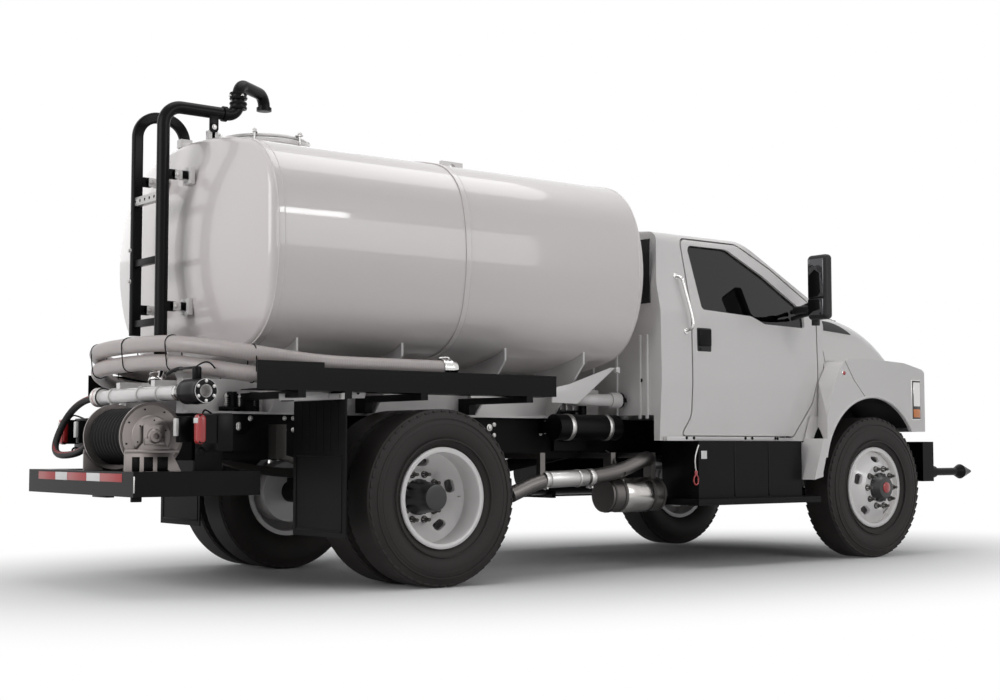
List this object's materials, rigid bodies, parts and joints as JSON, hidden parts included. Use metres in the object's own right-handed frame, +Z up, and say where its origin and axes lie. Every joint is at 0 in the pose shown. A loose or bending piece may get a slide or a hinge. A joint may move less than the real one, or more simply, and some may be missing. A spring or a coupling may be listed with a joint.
{
  "type": "tank_truck",
  "caption": "Two-axle water tank truck with a short cab, tilting hood, rounded white tank, side hose trays, rear hose reel and overhead fill pipe",
  "frame": {"origin": "ground point half way between the tips of the front spray heads and the rear face of the rear bumper, on the centreline", "axes": "+X towards the front of the truck, +Y to its left side, +Z up"},
  "size_m": [7.08, 2.85, 3.098],
  "materials": {
    "white_paint": "gloss",
    "black_paint": "satin",
    "tyre_rubber": "matte",
    "hose_plastic": "satin",
    "black_rubber": "matte",
    "clear_glass": "polished",
    "bright_metal": "polished",
    "raw_steel": "matte",
    "lamp_plastic": "gloss",
    "dark_trim": "matte"
  },
  "bodies": {
    "truck": {"chassis_frame": "black_paint", "front_axle": "black_paint", "rear_axle": "black_paint", "leaf_springs": "raw_steel", "engine": "raw_steel", "driveshaft": "black_paint", "cab_roof": "white_paint", "cab_back": "white_paint", "cab_front": "white_paint", "cab_floor": "white_paint", "windshield": "clear_glass", "rear_window": "clear_glass", "bench_seat": "dark_trim", "dashboard": "dark_trim", "fender_rear_panels": "white_paint", "front_bumper": "black_paint", "front_spray": "bright_metal", "side_boxes": "black_paint", "exhaust": "bright_metal", "delivery_pipe": "white_paint", "air_tank": "black_paint", "tank": "white_paint", "manway_neck": "white_paint", "lifting_lug": "white_paint", "tank_bed": "white_paint", "tank_mounts": "black_paint", "hose_trays": "black_paint", "mudflaps": "black_rubber", "suction_hose_upper": "hose_plastic", "suction_hose_lower": "hose_plastic", "hose_couplings": "bright_metal", "ladder": "black_paint", "fill_pipe": "black_paint", "fill_coupling": "bright_metal", "rear_manifold": "white_paint", "rear_bumper": "black_paint", "tail_lamps": "lamp_plastic", "feed_hose": "black_rubber"},
    "knuckle_right": {"knuckle_right": "raw_steel"},
    "knuckle_left": {"knuckle_left": "raw_steel"},
    "front_wheel_right": {"front_wheel_right": "white_paint", "front_tyre_right": "tyre_rubber"},
    "front_wheel_left": {"front_wheel_left": "white_paint", "front_tyre_left": "tyre_rubber"},
    "rear_wheels_right": {"rear_wheels_right": "white_paint", "rear_tyres_right": "tyre_rubber"},
    "rear_wheels_left": {"rear_wheels_left": "white_paint", "rear_tyres_left": "tyre_rubber"},
    "door_right": {"door_right": "white_paint", "door_glass_right": "clear_glass", "mirror_right": "dark_trim"},
    "door_left": {"door_left": "white_paint", "door_glass_left": "clear_glass", "mirror_left": "dark_trim"},
    "hood": {"hood_panel": "white_paint", "grille": "bright_metal", "headlamps": "clear_glass"},
    "manway_lid": {"manway_lid": "white_paint"},
    "reel": {"reel_drum": "raw_steel", "reel_hose": "black_rubber"}
  },
  "joints": [
    {"name": "steer_right", "type": "hinge", "parent": "truck", "child": "knuckle_right", "pos_m": [2.238, -0.89, 0.525], "axis": [0, 0, 1], "range_deg": [-40, 40]},
    {"name": "steer_left", "type": "hinge", "parent": "truck", "child": "knuckle_left", "pos_m": [2.238, 0.89, 0.525], "axis": [0, 0, 1], "range_deg": [-40, 40]},
    {"name": "roll_front_right", "type": "hinge", "parent": "knuckle_right", "child": "front_wheel_right", "pos_m": [2.238, -1.036, 0.525], "axis": [0, 1, 0], "continuous": true},
    {"name": "roll_front_left", "type": "hinge", "parent": "knuckle_left", "child": "front_wheel_left", "pos_m": [2.238, 1.036, 0.525], "axis": [0, 1, 0], "continuous": true},
    {"name": "roll_rear_right", "type": "hinge", "parent": "truck", "child": "rear_wheels_right", "pos_m": [-1.775, -1.063, 0.525], "axis": [0, 1, 0], "continuous": true},
    {"name": "roll_rear_left", "type": "hinge", "parent": "truck", "child": "rear_wheels_left", "pos_m": [-1.775, 1.063, 0.525], "axis": [0, 1, 0], "continuous": true},
    {"name": "swing_door_right", "type": "hinge", "parent": "truck", "child": "door_right", "pos_m": [1.766, -1, 1.3], "axis": [0, 0, 1], "range_deg": [0, 60]},
    {"name": "swing_door_left", "type": "hinge", "parent": "truck", "child": "door_left", "pos_m": [1.766, 1, 1.3], "axis": [0, 0, -1], "range_deg": [0, 60]},
    {"name": "tilt_hood", "type": "hinge", "parent": "truck", "child": "hood", "pos_m": [2.928, 0, 0.95], "axis": [0, 1, 0], "range_deg": [0, 50]},
    {"name": "swing_lid", "type": "hinge", "parent": "truck", "child": "manway_lid", "pos_m": [-2.342, 0.33, 2.748], "axis": [0, 0, 1], "range_deg": [0, 110]},
    {"name": "turn_reel", "type": "hinge", "parent": "truck", "child": "reel", "pos_m": [-3.352, -0.33, 0.885], "axis": [0, 1, 0], "continuous": true}
  ],
  "couplings": [
    {"joint": "steer_left", "follows": "steer_right", "ratio": 1}
  ]
}
